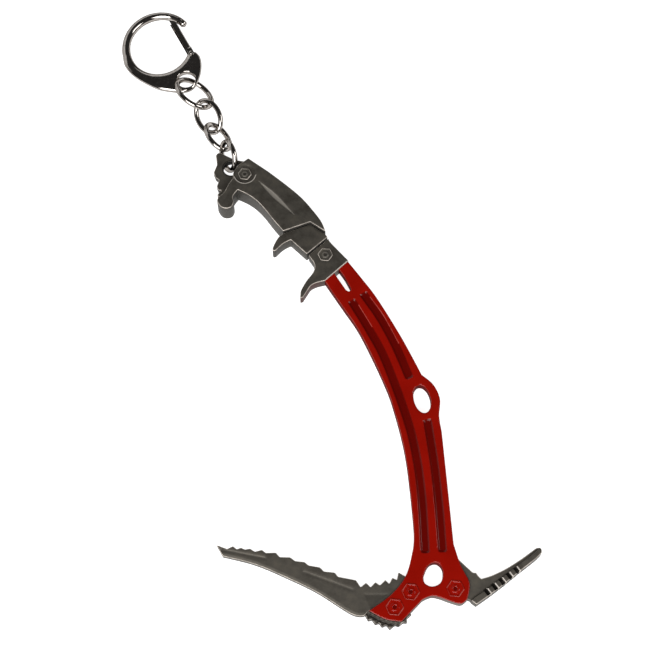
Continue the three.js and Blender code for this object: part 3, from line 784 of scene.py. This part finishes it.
def clasp_body():
    """A round wire that runs from the ball at the hook's tip over the top of the opening and
    widens into a crescent with a bevelled inner edge, an eye and a lug for the gate."""
    tip, foot, lug = map(math.radians, (51, 195, 342))
    rx, ry = OPENING_RADII
    width = 2 * CLASP_WIRE_RADIUS
    angles = np.linspace(tip, foot, 110)
    taper = np.interp(angles, (tip, tip + 1), (2 * CLASP_TIP_RADIUS, width))[:, None]
    middle = [ellipse(OPENING_CENTRE, rx + CLASP_WIRE_RADIUS, ry + CLASP_WIRE_RADIUS,
                      start=a, end=a)[0] for a in angles]
    middle = np.array(middle)
    along = np.gradient(middle, axis=0)
    along /= np.linalg.norm(along, axis=1, keepdims=True)
    out = np.stack([along[:, 1], -along[:, 0]], 1)
    outer_wire, inner_wire = middle + out * taper / 2, middle - out * taper / 2
    ball = 1.12 * CLASP_TIP_RADIUS
    ball_centre = middle[0] - 0.4 * ball * along[0]
    start = math.atan2(*(inner_wire[0] - ball_centre)[::-1])
    ball_arc = [ball_centre + ball * np.array((math.cos(start + a), math.sin(start + a)))
                for a in np.linspace(0.25, math.pi - 0.1, 14)]
    crescent = curve([
        outer_wire[-1], (-21.8, 6.4), (-18, 1.8), (-10.5, -3), (-4.2, -4.6),
        (-0.4, -4.9), (3, -3), (4.8, 2), (5.1, 6.6), (4.4, 10), (3.2, 11.6), (2.4, 11.9),
        (1.6, 12), (0.6, 11.7),
    ])[1:-1]
    rim = ellipse(OPENING_CENTRE, rx, ry, start=foot, end=lug)[::-1]
    loop = np.vstack([ball_arc, outer_wire, crescent, rim, inner_wire[::-1]])
    eye = circle((0, 0), EYE_RADIUS, gap=0.2)

    def shaping(xy, nearest):
        turn = np.arctan2(xy[:, 1] - OPENING_CENTRE[1], xy[:, 0] - OPENING_CENTRE[0])
        turn = turn % (2 * math.pi)
        wire = np.interp(turn, (tip, tip + 1, foot - 0.3, foot + 0.5),
                         (ball, CLASP_WIRE_RADIUS, CLASP_WIRE_RADIUS, CLASP_FACE))
        wire[turn < tip - 0.6] = CLASP_FACE
        spread = np.interp(turn, (tip, tip + 1), (ball, CLASP_WIRE_RADIUS))
        rise = np.sqrt(1 - (1 - np.clip(nearest[0] / spread, 0, 1)) ** 2)
        eye_rise = 1 - rounded_drop(nearest[1], 0.5) / wire
        return CLASP_WIRE_RADIUS - wire * np.minimum(rise * 0.96 + 0.04, eye_rise)

    return plate(
        "clasp_body", loop, -CLASP_WIRE_RADIUS, CLASP_WIRE_RADIUS, [CLASP_WIRE_RADIUS, 0.5],
        holes=[eye], shaping=shaping, matrix=clasp_matrix(), gap=0.5,
    )


def gate_matrix():
    return (clasp_matrix() @ Matrix.Translation((*GATE_PIVOT, 0))
            @ Matrix.Rotation(math.radians(GATE_HEADING), 4, "Z"))


def channel_section(half, height, corner):
    """Half-way round a channel: from the open side, round the back, to the open side again."""
    points = [(half, height)]
    for z, first in ((height - corner, 90), (corner - height, 180)):
        for angle in np.radians(np.linspace(first, first + 90, 7)):
            points.append((corner - half + corner * math.cos(angle), z + corner * math.sin(angle)))
    points.append((half, -height))
    return points


def clasp_gate():
    """A folded channel with a slanted tip, and two cheeks at its foot."""
    half, height = GATE_WIDTH / 2, GATE_HEIGHT / 2
    outer = channel_section(half, height, 0.9)
    inner = channel_section(half, height - GATE_SHEET, 0.5)
    inner = [(max(y, -half + GATE_SHEET) if abs(z) < height else y, z) for y, z in inner]
    section = outer + inner[::-1]
    sections = []
    for share in np.linspace(0, 1, 14):
        rows = []
        for y, z in section:
            start, end = 1.5, GATE_LENGTH - half + 0.75 * (y + half)
            rows.append((start + (end - start) * share, y, z))
        sections.append(np.array(rows))
    parts = [loft("channel", sections, matrix=gate_matrix())]
    cheek = outline((0, -half), (2.4, -half), (2.4, half), (0, half),
                    [(-0.8, 0.8), (-half, 0), (-0.8, -0.8), (0, -half)])
    for side in (-1, 1):
        low, high = sorted((side * (height - GATE_SHEET), side * height))
        parts.append(plate("cheek", cheek, low, high, 0.12, matrix=gate_matrix(), gap=0.4))
    return joined("clasp_gate", *parts)


def gate_pin():
    matrix = clasp_matrix() @ Matrix.Translation((*GATE_PIVOT, 0))
    height = GATE_HEIGHT / 2
    top = dome(1.25 * GATE_PIN_RADIUS, height, 0.25)
    profile = [(r, -z) for r, z in reversed(top)] + [(GATE_PIN_RADIUS, -height)]
    return lathe("gate_pin", (0, 0), [*profile, (GATE_PIN_RADIUS, height), *top], matrix=matrix)


def gate_spring():
    line = curve([(2, 0.4), (3.2, 0.1), (4.6, -0.4), (7, -0.45)])
    sections = []
    for x, y in line:
        sections.append(np.array([(x, y - 0.12, -0.8), (x, y + 0.12, -0.8),
                                  (x, y + 0.12, 0.8), (x, y - 0.12, 0.8)]))
    return loft("gate_spring", sections, matrix=gate_matrix())


# ---------------------------------------------------------------- materials

def add(tree, kind, inputs=(), **settings):
    """A node. Each of its inputs is linked, if it is given a socket, or set to a value."""
    node = tree.nodes.new(kind)
    for key, value in settings.items():
        setattr(node, key, value)
    for key, value in dict(inputs).items():
        if isinstance(value, bpy.types.NodeSocket):
            tree.links.new(value, node.inputs[key])
        else:
            node.inputs[key].default_value = value
    return node


def noise(tree, size, detail=3, roughness=0.55):
    """Noise whose lumps are about size millimetres across."""
    where = add(tree, "ShaderNodeTexCoord").outputs["Object"]
    inputs = {"Vector": where, "Scale": 1000 / size, "Detail": detail, "Roughness": roughness}
    return add(tree, "ShaderNodeTexNoise", inputs).outputs["Fac"]


def ramp(tree, factor, *stops):
    """A colour from stops of (position, colour)."""
    node = add(tree, "ShaderNodeValToRGB", {"Fac": factor})
    elements = node.color_ramp.elements
    while len(elements) < len(stops):
        elements.new(0.5)
    for element, (position, colour) in zip(elements, stops):
        element.position = position
        element.color = (*colour, 1)
    return node.outputs["Color"]


def between(tree, value, start, end, low=0.0, high=1.0):
    """The value's place between start and end, as a number from low to high."""
    inputs = {"Value": value, "From Min": start, "From Max": end, "To Min": low, "To Max": high}
    return add(tree, "ShaderNodeMapRange", inputs, clamp=True).outputs["Result"]


def mask(tree, attribute, start, end):
    """The place of a vertex attribute between start and end, from 0 to 1."""
    value = add(tree, "ShaderNodeAttribute", attribute_name=attribute).outputs["Fac"]
    return between(tree, value, start, end)


def rim(tree, start, end):
    """1 on the rounded edge of a face and 0 on the face itself and on the side walls."""
    return times(tree, mask(tree, "edge", start, end), mask(tree, "wall", 0.9, 0.5))


def times(tree, a, b):
    return add(tree, "ShaderNodeMath", {0: a, 1: b}, operation="MULTIPLY").outputs["Value"]


def mixed(tree, factor, first, second):
    """Two colours mixed. The mix node's socket names repeat, so that they are given by number."""
    inputs = {0: factor, 6: first, 7: (*second, 1)}
    return add(tree, "ShaderNodeMix", inputs, data_type="RGBA").outputs[2]


def bump(tree, height, distance_mm, strength):
    inputs = {"Height": height, "Distance": distance_mm / 1000, "Strength": strength}
    return add(tree, "ShaderNodeBump", inputs).outputs["Normal"]


def material(name, **constants):
    """A material, its nodes and its shader. Constants set the sockets with those names."""
    made = bpy.data.materials.new(name)
    made.use_nodes = True
    shader = made.node_tree.nodes["Principled BSDF"]
    for key, value in constants.items():
        shader.inputs[key.replace("_", " ").title().replace("Ior", "IOR")].default_value = value
    return made, made.node_tree, shader


def connect(tree, shader, **outputs):
    """Link outputs to the shader's sockets, which are named in lower case."""
    for key, output in outputs.items():
        tree.links.new(output, shader.inputs[key.replace("_", " ").title()])


def height_along(tree, start, end):
    """The place of a point along the drawing's Y, from 0 at start to 1 at end, both in mm."""
    where = add(tree, "ShaderNodeTexCoord").outputs["Object"]
    y = add(tree, "ShaderNodeSeparateXYZ", {0: where}).outputs["Y"]
    return between(tree, y, start / 1000 + SHIFT.y, end / 1000 + SHIFT.y)


def red_paint():
    """Glossy enamel: painted darker in the grooves and dimples and on the side walls as painted
    shade, paler on the edges as worn paint and painted highlight, with painted highlights on some
    lips and bolt edges, and absent from the end wall under the head."""
    made, tree, shader = material("red_paint", coat_roughness=0.15, specular_ior_level=0)
    wall = mask(tree, "wall", 0.5, 1)
    coat = between(tree, wall, 0, 1, 0.3, 0.08)
    cloud = noise(tree, 9)
    colour = ramp(tree, cloud, (0.3, (0.165, 0.0026, 0.0006)), (0.7, (0.197, 0.0033, 0.001)))
    # Painted shade in the grooves and the bolts' dimples.
    painted_hollow_shade = times(tree, mask(tree, "tone", 0, -0.5), 0.68)
    colour = mixed(tree, painted_hollow_shade, colour, (0.03, 0.0004, 0.0003))
    # Painted shade: the side walls are painted darker.
    colour = mixed(tree, times(tree, wall, 0.8), colour, (0.045, 0.0008, 0.0006))
    # Paler edges: partly worn paint, partly painted highlight.
    patchy = between(tree, noise(tree, 3.5), 0.38, 0.62, 0.15, 1)
    wear_and_highlight = times(tree, rim(tree, 0.2, 0.05), patchy)
    colour = mixed(tree, times(tree, wear_and_highlight, 0.5), colour, (0.33, 0.1, 0.08))
    bare = times(tree, mask(tree, "wall", 0.4, 0.9), height_along(tree, -91.5, -94))
    colour = mixed(tree, bare, colour, (0.12, 0.11, 0.1))
    # Painted highlights on the grooves' lips and on two edges of each bolt.
    pale = times(tree, mask(tree, "tone", 0.4, 1), 0.5)
    colour = mixed(tree, pale, colour, (0.4, 0.12, 0.1))
    rough = between(tree, noise(tree, 2, detail=5), 0.3, 0.7, 0.26, 0.38)
    ripple = bump(tree, noise(tree, 0.9), 0.02, 0.5)
    connect(tree, shader, base_color=colour, roughness=rough, normal=ripple, coat_weight=coat)
    return made


def antique_metal():
    """Dark plated casting: mottled, fine-grained, paler along its edges as worn metal and painted
    highlight, with painted highlights on some lips and bolt edges and painted shade in hollows, a
    little paler on the head, and touched by red spray on the side walls of the ferrule's hook."""
    made, tree, shader = material("antique_metal", metallic=0.4, specular_ior_level=0.25,
                                  specular_tint=(0.35, 0.34, 0.32, 1))
    cloud = noise(tree, 5, detail=6, roughness=0.65)
    colour = ramp(tree, cloud, (0.32, (0.037, 0.033, 0.027)), (0.5, (0.057, 0.052, 0.044)),
                  (0.7, (0.079, 0.07, 0.056)))
    wall = mask(tree, "wall", 0.5, 1)
    colour = mixed(tree, times(tree, wall, 0.8), colour, (0.05, 0.047, 0.043))
    sprayed = times(tree, wall, times(tree, height_along(tree, 14.5, 12), 0.5))
    sprayed = times(tree, sprayed, height_along(tree, 3, 6))
    colour = mixed(tree, sprayed, colour, (0.07, 0.008, 0.006))
    head = times(tree, height_along(tree, -60, -64), 0.12)
    colour = mixed(tree, head, colour, (0.15, 0.132, 0.11))
    # Paler where the tone is positive: painted highlights on edges and lips, and a few paler
    # flats.
    colour = mixed(tree, times(tree, mask(tree, "tone", 0, 1), 0.7), colour, (0.27, 0.25, 0.22))
    colour = mixed(tree, mask(tree, "tone", 1, 2), colour, (0.6, 0.55, 0.5))
    # Paler edges: partly worn metal, partly painted highlight.
    patchy = between(tree, noise(tree, 2.2), 0.36, 0.6, 0.45, 1)
    wear_and_highlight = times(tree, rim(tree, 0.24, 0.06), patchy)
    colour = mixed(tree, wear_and_highlight, colour, (0.58, 0.52, 0.46))
    # Darker where the tone is negative: painted shade in the notches, between the hammer's
    # pyramids, in the dimples and round the pommel's eye, and a darker flat on the pick.
    painted_shade = times(tree, mask(tree, "tone", 0, -1), 0.9)
    colour = mixed(tree, painted_shade, colour, (0.005, 0.0045, 0.004))
    grain = noise(tree, 0.35, detail=6, roughness=0.7)
    rough = between(tree, grain, 0.3, 0.7, 0.36, 0.52)
    ripple = bump(tree, grain, 0.03, 0.6)
    connect(tree, shader, base_color=colour, roughness=rough, normal=ripple)
    return made


def gunmetal_chrome():
    """Polished dark plating with faint cloudiness."""
    made, tree, shader = material("gunmetal_chrome", metallic=1.0,
                                  specular_tint=(0.12, 0.11, 0.1, 1))
    colour = ramp(tree, noise(tree, 1.1, detail=5), (0.3, (0.28, 0.255, 0.235)),
                  (0.7, (0.4, 0.375, 0.35)))
    rough = between(tree, noise(tree, 1.2, detail=5), 0.3, 0.7, 0.06, 0.14)
    ripple = bump(tree, noise(tree, 2.5), 0.03, 0.4)
    connect(tree, shader, base_color=colour, roughness=rough, normal=ripple)
    return made


def spring_steel():
    """Bare strip with an uneven satin finish."""
    made, tree, shader = material("spring_steel", metallic=1.0)
    colour = ramp(tree, noise(tree, 1), (0.3, (0.3, 0.3, 0.3)), (0.7, (0.42, 0.41, 0.4)))
    rough = between(tree, noise(tree, 0.4), 0.3, 0.7, 0.25, 0.4)
    connect(tree, shader, base_color=colour, roughness=rough)
    return made


# ---------------------------------------------------------------- studio

def camera():
    """From straight above the drawing's origin, leaning 22 degrees towards the head."""
    tilt, away = math.radians(22), 583
    data = bpy.data.cameras.new("camera")
    data.sensor_width = 36
    data.lens = 96.87
    data.clip_start = 0.01
    seat = bpy.data.objects.new("camera", data)
    seat.location = Vector((0, -away * math.sin(tilt), away * math.cos(tilt))) / 1000 + SHIFT
    seat.rotation_euler = (tilt, 0, 0)
    bpy.context.scene.collection.objects.link(seat)
    bpy.context.scene.camera = seat


def softbox(name, azimuth, elevation, away, width, height, watts):
    """A soft light that faces the axe, from an azimuth measured from +X towards +Y."""
    data = bpy.data.lights.new(name, "AREA")
    data.shape = "RECTANGLE"
    data.size = width
    data.size_y = height
    data.energy = watts
    lamp = bpy.data.objects.new(name, data)
    a, e = math.radians(azimuth), math.radians(elevation)
    towards = Vector((math.cos(a) * math.cos(e), math.sin(a) * math.cos(e), math.sin(e)))
    lamp.location = towards * away
    lamp.rotation_euler = towards.to_track_quat("Z", "Y").to_euler()
    bpy.context.scene.collection.objects.link(lamp)


def studio():
    """A faint even light from all round, and three softboxes."""
    world = bpy.data.worlds.new("studio")
    bpy.context.scene.world = world
    world.use_nodes = True
    background = world.node_tree.nodes["Background"]
    background.inputs["Color"].default_value = (1, 0.99, 0.98, 1)
    background.inputs["Strength"].default_value = 0.05
    softbox("key", azimuth=-108, elevation=42, away=0.9, width=0.8, height=0.7, watts=14)
    softbox("right", azimuth=-2, elevation=39, away=0.9, width=0.5, height=0.35, watts=3.5)
    softbox("far_left", azimuth=132, elevation=24, away=1, width=1.5, height=0.65, watts=3)


def floor():
    """A sheet just under the axe that glows nearly white, so that shadows hardly show on it."""
    side, level = 8, -0.0002
    work = bmesh.new()
    corners = [work.verts.new((x * side, y * side, level))
               for x, y in ((-1, -1), (1, -1), (1, 1), (-1, 1))]
    work.faces.new(corners)
    mesh = bpy.data.meshes.new("floor")
    work.to_mesh(mesh)
    work.free()
    ground = bpy.data.objects.new("floor", mesh)
    bpy.context.scene.collection.objects.link(ground)
    pale, _, shader = material("pale_floor", roughness=0.9, emission_strength=0.95)
    shader.inputs["Base Color"].default_value = (0.4, 0.4, 0.4, 1)
    shader.inputs["Emission Color"].default_value = (1, 1, 1, 1)
    mesh.materials.append(pale)


# ---------------------------------------------------------------- assembly

def settle(piece, node, body, slot):
    """Name a piece, give it its material and put it in the place of a CAD node."""
    piece.name = node + "_look"
    piece.data.materials.clear()
    piece.data.materials.append(MATERIALS[slot])
    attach(piece, body)
    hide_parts(node)


MATERIALS = {
    "red_paint": red_paint(),
    "antique_metal": antique_metal(),
    "gunmetal_chrome": gunmetal_chrome(),
    "spring_steel": spring_steel(),
}

settle(shaft(), "shaft", "axe", "red_paint")
for make in (pick, hammer, adze, ferrule, guard, pommel_plate):
    settle(make(), make.__name__, "axe", "antique_metal")
for name, side in (("grip_front_scale", 1), ("grip_back_scale", -1)):
    settle(scale(name, side), name, "axe", "antique_metal")
for fastener in FASTENERS:
    settle(bolt(fastener), fastener.name + "_bolt", "axe", fastener.slot)
    settle(nut(fastener), fastener.name + "_nut", "axe", fastener.slot)
for name, (half_sizes, centre, angles) in CHAIN.items():
    settle(ring(name, half_sizes, centre, angles), name, name, "gunmetal_chrome")
settle(clasp_body(), "clasp_body", "clasp", "gunmetal_chrome")
settle(gate_pin(), "gate_pin", "clasp", "gunmetal_chrome")
settle(clasp_gate(), "clasp_gate", "gate", "gunmetal_chrome")
settle(gate_spring(), "gate_spring", "gate", "spring_steel")

camera()
studio()
floor()
bpy.context.scene.view_settings.view_transform = "Standard"
